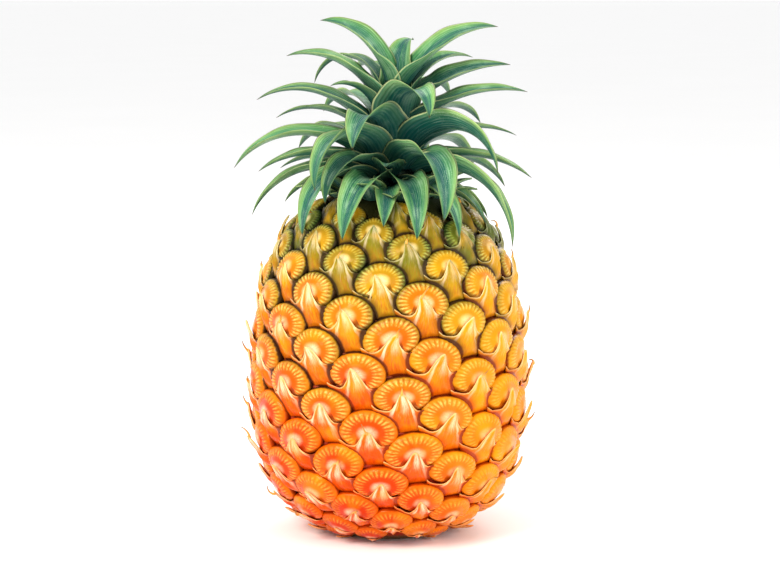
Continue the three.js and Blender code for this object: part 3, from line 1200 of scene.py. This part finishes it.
@dataclass
class Leaf(Assembly):
    """One leaf of the crown, built round the line of its node."""

    node: str
    number: int
    stations: int = 44
    around: int = 24
    widen: float = 1.1
    root_widen: float = 1.9
    root_clasp: float = 0.42
    thickness: float = 1.0
    margin_wave: float = 0.25

    def build(self) -> bpy.types.Object:
        """Makes the leaf from a sphere whose rings become its cross-sections."""
        spine = LeafSpine(self.node)
        chance = random.Random(self.number)
        phase = chance.uniform(0, 6)
        bm = bmesh.new()
        bmesh.ops.create_uvsphere(bm, u_segments=self.around, v_segments=self.stations, radius=1.0)
        marks: dict[int, tuple[float, float, float]] = {}
        sections = [spine.at(self._share(ring)) for ring in range(self.stations + 1)]
        for vert in bm.verts:
            ring = round(math.acos(max(-1.0, min(1.0, vert.co.z))) / math.pi * self.stations)
            turn = round(math.atan2(vert.co.y, vert.co.x) / math.tau * self.around) % self.around
            share = self._share(ring)
            half = self.around // 2
            across = 1 - 2 * (turn if turn <= half else self.around - turn) / half
            side = 0 if ring in (0, self.stations) else math.sin(math.tau * turn / self.around)
            marks[vert.index] = (across, share, side)
            vert.co = self._point(sections[ring], across, share, side, phase)
        local = bm.loops.layers.uv.new("local")
        luck = bm.verts.layers.float.new("chance")
        value = chance.random()
        for vert in bm.verts:
            vert[luck] = value
        for face in bm.faces:
            sides = sum(marks[v.index][2] for v in face.verts)
            face.material_index = (LeafFace.UPPER if sides > 0 else LeafFace.UNDER).value
            middle = sum(marks[v.index][0] for v in face.verts) / len(face.verts)
            for loop in face.loops:
                across, share, _ = marks[loop.vert.index]
                pole = share in (self._share(0), 1.0)
                loop[local].uv = ((middle if pole else across) / 2 + 0.5, share)
        bmesh.ops.recalc_face_normals(bm, faces=bm.faces)
        tier = self.node.rsplit("_", 1)[0]
        return make_piece(f"{self.node}_blade", bm, tier, self.node)

    def _share(self, ring: int) -> float:
        """Returns a ring's share of the leaf's length: ring 0 is the tip, and rings close up there."""
        return 1 - (ring / self.stations) ** 1.15

    def _point(self, section: LeafSection, across: float, share: float, side: float,
               phase: float) -> Vector:
        """Returns a point of the leaf's skin.

        Args:
            section: The cross-section that it lies on.
            across: Its place between the margins, from -1 to 1.
            share: Its place along the leaf.
            side: 1 on the upper face, -1 below, less towards the margins.
            phase: Where the margins' wave starts.

        Returns:
            The point, in metres.
        """
        root = 1 - float(ease(0.0, 0.34, share))
        width = section.width * (self.widen + (self.root_widen - self.widen) * root)
        depth = section.depth + root * self.root_clasp * width
        wave = self.margin_wave * math.sin(share * 21 + phase + across) * across ** 2 * width / 0.015
        bowl = depth * abs(across) ** 1.7 + wave * MM * float(ease(0.1, 0.4, share))
        body = self.thickness * MM / 2 * side * math.sqrt(max(1 - share ** 2, 0.02))
        return section.centre + section.left * (across * width / 2) + section.upper * (bowl + body)


@dataclass(frozen=True)
class LeafFinish:
    """Greens of the leaves."""

    # The next colour is the leaves' dark veins, and also the painted shade in the crown's middle.
    deep: str = "02383A"
    # The next colour is the painted shade in the leaves' middle grooves.
    teal: str = "04504E"
    blade: str = "085A42"
    light: str = "58A058"
    sheen: str = "A8D8B0"
    yellow: str = "9CB85A"
    pale: str = "DDE8A6"
    # The next colour is both the pale waxy dust and the painted sheen.
    bloom_and_sheen: str = "D4E8D8"
    brown: str = "5E3218"
    # The next two place the painted shade in the crown's middle: the neck's height in millimetres, and the
    # crown's lean.
    neck: float = 152.0
    crown_lean: float = 0.07

    def upper_skin(self) -> bpy.types.Material:
        """Makes the channelled face: painted shade of teal along its middle groove, and bands of pale waxy
        dust and painted sheen beyond the bend.
        """
        return self._skin("leaf_upper_skin", self.blade, self.light, 0.6, 28.0)

    def under_skin(self) -> bpy.types.Material:
        """Makes the face below: painted shade of deep teal near the stem, light and dusted beyond."""
        return self._skin("leaf_under_skin", "145E46", "66A062", 0.8, 38.0)

    def _skin(self, name: str, blade: str, light: str, dust: float, core: float) -> bpy.types.Material:
        """Makes a face's skin.

        Args:
            name: The material's name.
            blade: Its main green.
            light: The green of its painted lit patches.
            dust: How strong its pale dust is.
            core: How far from the stem its painted shade of deep green reaches, in millimetres.

        Returns:
            The material.
        """
        sheet = NodeSheet(name)
        across, along = sheet.uv("local")
        luck = sheet.attribute("chance")
        margin = abs(across - 0.5) * 2.0
        broad = sheet.noise(sheet.join(across * 5.0, along * 0.7, luck * 30.0), 1.5, 2.0)
        patch = sheet.noise(sheet.join(across * 1.5, along * 4.0, luck * 30.0), 1.6, 3.0)
        wander = sheet.noise(sheet.join(across * 9.0, along * 2.0, luck * 30.0), 2.0, 2.0)
        veins = (across * 100.0 + wander * 3.0).cos() * 0.5 + 0.5
        grain = sheet.noise(sheet.join(across * 50.0, along * 5.0, luck * 30.0), 2.0, 3.0, 0.65)
        # Painted light: lighter patches, more of them towards the margins.
        lit = broad * 0.7 + patch * 0.35 + margin * 0.3 + (luck - 0.5) * 0.2
        colour = sheet.mix(lit.step(0.5, 0.95), blade, light)
        warm = (margin + (broad - 0.5) * 0.5).step(0.5, 1.0)
        colour = sheet.mix(warm * along.step(0.15, 0.6) * 0.62, colour, self.yellow)
        # Painted shade in the groove down the leaf's middle.
        channel_shade = margin.step(0.7, 0.0) * broad.step(0.7, 0.35)
        colour = sheet.mix(channel_shade * 0.85, colour, self.teal)
        # Painted sheen in patches over the leaf's middle.
        sheen = patch.step(0.46, 0.66) * (margin - 0.5).most(0.0).step(0.45, 0.0) * broad.step(0.4, 0.6)
        colour = sheet.mix(sheen * grain.step(0.3, 0.6) * 0.3, colour, self.bloom_and_sheen)
        colour = sheet.mix(veins * grain.step(0.35, 0.65) * 0.3, colour, self.deep)
        colour = sheet.mix((1.0 - veins) * grain.step(0.6, 0.4) * 0.22, colour, self.bloom_and_sheen)
        specks = sheet.spots(sheet.join(across * 14.0, along * 60.0, luck * 9.0), 2.4)
        colour = sheet.mix(specks.step(0.26, 0.12) * patch.step(0.44, 0.6) * dust, colour, self.bloom_and_sheen)
        # Painted shade in the crown's middle, near the stem and up to 66 mm over the neck.
        east, north, up = sheet.split(sheet.point())
        reach = (east - (up - self.neck * MM) * self.crown_lean).hypot(north) + (patch - 0.5) * 0.008
        crown_shade = reach.step(core * MM, core * MM * 0.35) * (up - self.neck * MM).step(0.066, 0.03)
        colour = sheet.mix(crown_shade * 0.8, colour, self.deep)
        edge = (margin + (wander - 0.5) * 0.03).step(0.925, 0.975)
        colour = sheet.mix(edge * 0.65, colour, self.pale)
        tip = (along + (wander - 0.5) * 0.05).step(0.955, 0.985)
        colour = sheet.mix(tip * 0.9, colour, self.brown)
        relief = veins * 0.6 + grain * 0.4
        return sheet.finish(colour, 0.36, relief, 0.0002,
                            {"Specular IOR Level": 0.25, "Specular Tint": tone(self.sheen)})


@dataclass(frozen=True)
class FootRow:
    """One ring of foot bracts: their count, sizes in millimetres and lean in degrees."""

    count: int
    radius: float
    length: float
    width: float
    lean: float


@dataclass
class FootBracts(Assembly):
    """Short pointed bracts between the fruit's last eyes and the first leaves."""

    rows: tuple[FootRow, ...] = (
        FootRow(17, 25.0, 15.0, 11.0, 48.0), FootRow(15, 20.5, 17.0, 10.0, 36.0),
        FootRow(12, 15.5, 17.0, 9.0, 24.0))
    stations: int = 12
    around: int = 12
    thickness: float = 0.8
    bend: float = 0.7
    sunk: float = 1.5

    def build(self) -> bpy.types.Object:
        """Makes all of them as one piece."""
        _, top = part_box("fruit")
        lift = Matrix.Translation(Vector((0, 0, top.z - self.sunk * MM)))
        chance = random.Random(11)
        bm = bmesh.new()
        local = bm.loops.layers.uv.new("local")
        luck = bm.verts.layers.float.new("chance")
        for row in self.rows:
            for number in range(row.count):
                turn = math.tau * (number + chance.uniform(-0.25, 0.25)) / row.count + row.radius
                size = chance.uniform(0.75, 1.15)
                tilt = math.radians(row.lean + chance.uniform(-10, 10))
                place = lift @ Matrix.Rotation(turn, 4, "Z")
                value = chance.random()
                made = bmesh.ops.create_uvsphere(bm, u_segments=self.around, v_segments=self.stations,
                                                 radius=1.0)
                for vert in made["verts"]:
                    vert[luck] = value
                    share = (1 + vert.co.z) / 2
                    flat = Vector((vert.co.x, vert.co.y)).normalized() if 0 < share < 1 else Vector((0, 0))
                    for loop in vert.link_loops:
                        loop[local].uv = (0.5 + flat.y / 2, 0.35 + 0.62 * share)
                    vert.co = place @ (self._point(row, size, tilt, share, flat) * MM)
        bmesh.ops.recalc_face_normals(bm, faces=bm.faces)
        return make_piece("crown_foot", bm, Slot.STEM.value, "crown_stem")

    def _point(self, row: FootRow, size: float, tilt: float, share: float, flat: Vector) -> Vector:
        """Places a point of one bract.

        Args:
            row: The bract's ring.
            size: Its size, as a share of its ring's.
            tilt: Its lean at the root, in radians.
            share: The point's place along it, from the root to the tip.
            flat: The point's direction in the bract's section.

        Returns:
            The point, out, aside and up in millimetres, for a bract that faces +X.
        """
        broad = row.width * size / 2 * (1 - share ** 2.2) * (0.7 + 0.3 * float(ease(0, 0.3, share)))
        bent = tilt + self.bend * share
        out = row.radius + row.length * size * (math.cos(tilt) - math.cos(bent)) / self.bend
        up = row.length * size * (math.sin(bent) - math.sin(tilt)) / self.bend
        cup = 0.35 * broad * flat.y ** 2 + self.thickness / 2 * flat.x
        return Vector((out - cup * math.cos(bent), broad * flat.y, up + cup * math.sin(bent)))


@dataclass
class CrownStem(Assembly):
    """The stem that the leaves grow on: rounder than its node, and a little knobbly above the neck."""

    knobbly_from: float = 0.16
    knobs: tuple[float, float] = (-0.3, 0.1)

    def build(self) -> bpy.types.Object:
        """Makes the stem from a copy of its node."""
        bm = bmesh.new()
        bm.from_mesh(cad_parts["crown_stem"].data)
        bmesh.ops.remove_doubles(bm, verts=bm.verts, dist=1e-5)
        bmesh.ops.subdivide_edges(bm, edges=bm.edges, cuts=2, use_grid_fill=True, smooth=0.6)
        chance = random.Random(7)
        for vert in bm.verts:
            if vert.co.z > self.knobbly_from:
                vert.co += vert.normal * chance.uniform(*self.knobs) * MM
        bmesh.ops.recalc_face_normals(bm, faces=bm.faces)
        return make_piece("stem_core", bm, Slot.STEM.value, "crown_stem")

    @staticmethod
    def skin() -> bpy.types.Material:
        """Makes the stem's fibrous green skin."""
        sheet = NodeSheet("stem_skin")
        place = sheet.point()
        fibre = sheet.noise(place, 700.0, 3.0)
        colour = sheet.mix(fibre.step(0.35, 0.7), "12321F", "2E5A34")
        return sheet.finish(colour, 0.6, fibre, 0.0003)


@dataclass
class Crown(Assembly):
    """The stem, its leaves and the bracts at its foot."""

    finish: LeafFinish

    def build(self) -> None:
        """Makes and dresses every leaf, the stem and the foot's bracts."""
        upper, under = self.finish.upper_skin(), self.finish.under_skin()
        leaves = sorted(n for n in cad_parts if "_leaf_" in n)
        for number, node in enumerate(leaves):
            self.dress(Leaf(node, number).build(), upper, under)
        stem = CrownStem()
        skin = stem.skin()
        self.dress(stem.build(), skin)
        self.dress(FootBracts().build(), under, skin)


# ---------------------------------------------------------------- the studio


@dataclass(frozen=True)
class Softbox:
    """A square lamp."""

    name: str
    place: tuple[float, float, float]
    size: float
    power: float
    colour: str = "FFFFFF"


@dataclass(frozen=True)
class Studio:
    """The floor, the lamps and the camera."""

    lamps: tuple[Softbox, ...] = (
        Softbox("key_lamp", (-0.85, -1.05, 1.2), 0.7, 27.0, "FFF8EE"),
        Softbox("fill_lamp", (1.1, -0.9, 0.6), 1.0, 9.0, "F6FAFF"),
        Softbox("rim_lamp", (0.5, 1.1, 1.0), 0.8, 9.0),
    )
    sky: float = 1.0
    elevation: float = 8.0
    lens: float = 100.0
    view_width: float = 343.7
    aim_height: float = 105.7
    aim_side: float = 0.4
    floor_half: float = 40.0
    floor_drop: float = 0.1

    def build(self) -> None:
        """Makes the floor, the lamps, the sky and the camera."""
        self._floor()
        for lamp in self.lamps:
            self._lamp(lamp)
        world = bpy.data.worlds.new("sky")
        world.use_nodes = True
        background = world.node_tree.nodes["Background"]
        background.inputs["Color"].default_value = (1, 1, 1, 1)
        background.inputs["Strength"].default_value = self.sky
        bpy.context.scene.world = world
        bpy.context.scene.view_settings.view_transform = "Standard"
        self._camera()

    def _floor(self) -> None:
        """Makes the pale floor."""
        bm = bmesh.new()
        sunk = Matrix.Translation((0, 0, -self.floor_drop * MM))
        bmesh.ops.create_grid(bm, x_segments=1, y_segments=1, size=self.floor_half, matrix=sunk)
        mesh = bpy.data.meshes.new("studio_floor")
        bm.to_mesh(mesh)
        bm.free()
        sheet = NodeSheet("floor_paint")
        grain = sheet.noise(sheet.point(), 3.0)
        colour = sheet.mix(grain, "F7F7F7", "FAFAFA")
        mesh.materials.append(sheet.finish(colour, 0.9, grain, 0.0))
        floor = bpy.data.objects.new("studio_floor", mesh)
        bpy.context.scene.collection.objects.link(floor)

    @staticmethod
    def _lamp(lamp: Softbox) -> None:
        """Makes one lamp, aimed at the object's middle.

        Args:
            lamp: The lamp.
        """
        light = bpy.data.lights.new(lamp.name, "AREA")
        light.shape = "SQUARE"
        light.size = lamp.size
        light.energy = lamp.power
        light.color = tone(lamp.colour)[:3]
        holder = bpy.data.objects.new(lamp.name, light)
        holder.location = lamp.place
        aim = Vector((0, 0, 0.1)) - Vector(lamp.place)
        holder.rotation_euler = aim.to_track_quat("-Z", "Y").to_euler()
        bpy.context.scene.collection.objects.link(holder)

    def _camera(self) -> None:
        """Makes the camera: level with the upper fruit, looking slightly down, with a long lens."""
        data = bpy.data.cameras.new("camera")
        data.lens = self.lens
        distance = self.view_width * MM * self.lens / data.sensor_width
        tilt = math.radians(self.elevation)
        aim = Vector((self.aim_side * MM, 0, self.aim_height * MM))
        back = Vector((0, -math.cos(tilt), math.sin(tilt)))
        camera = bpy.data.objects.new("camera", data)
        camera.location = aim + back * distance
        camera.rotation_euler = (-back).to_track_quat("-Z", "Y").to_euler()
        bpy.context.scene.collection.objects.link(camera)
        bpy.context.scene.camera = camera


def main() -> None:
    """Builds the studio, the fruit and the crown."""
    logging.basicConfig(level=logging.INFO, format="%(name)s %(message)s")
    Studio().build()
    _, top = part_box("fruit")
    barrel = Barrel(height=top.z / MM)
    spiral = Spiral(barrel)
    eyes = spiral.eyes()
    LOG.info("%d eyes", len(eyes))
    finish = FruitFinish(barrel.height)
    dome = EyeShape()
    skin = FruitFloor(barrel)
    skin.dress(skin.build(), finish.floor_skin())
    domes = EyeDomes(spiral, dome)
    bracts = Bracts(spiral, dome, BractShape())
    domes.dress(domes.build(eyes), finish.eye_skin(dome, bracts.shape))
    bracts.dress(bracts.build(eyes), finish.bract_skin(spiral, dome))
    wisps = Wisps(bracts, WispShape())
    wisps.dress(wisps.build(eyes), finish.wisp_skin())
    Crown(LeafFinish()).build()


if __name__ == "__main__":
    main()
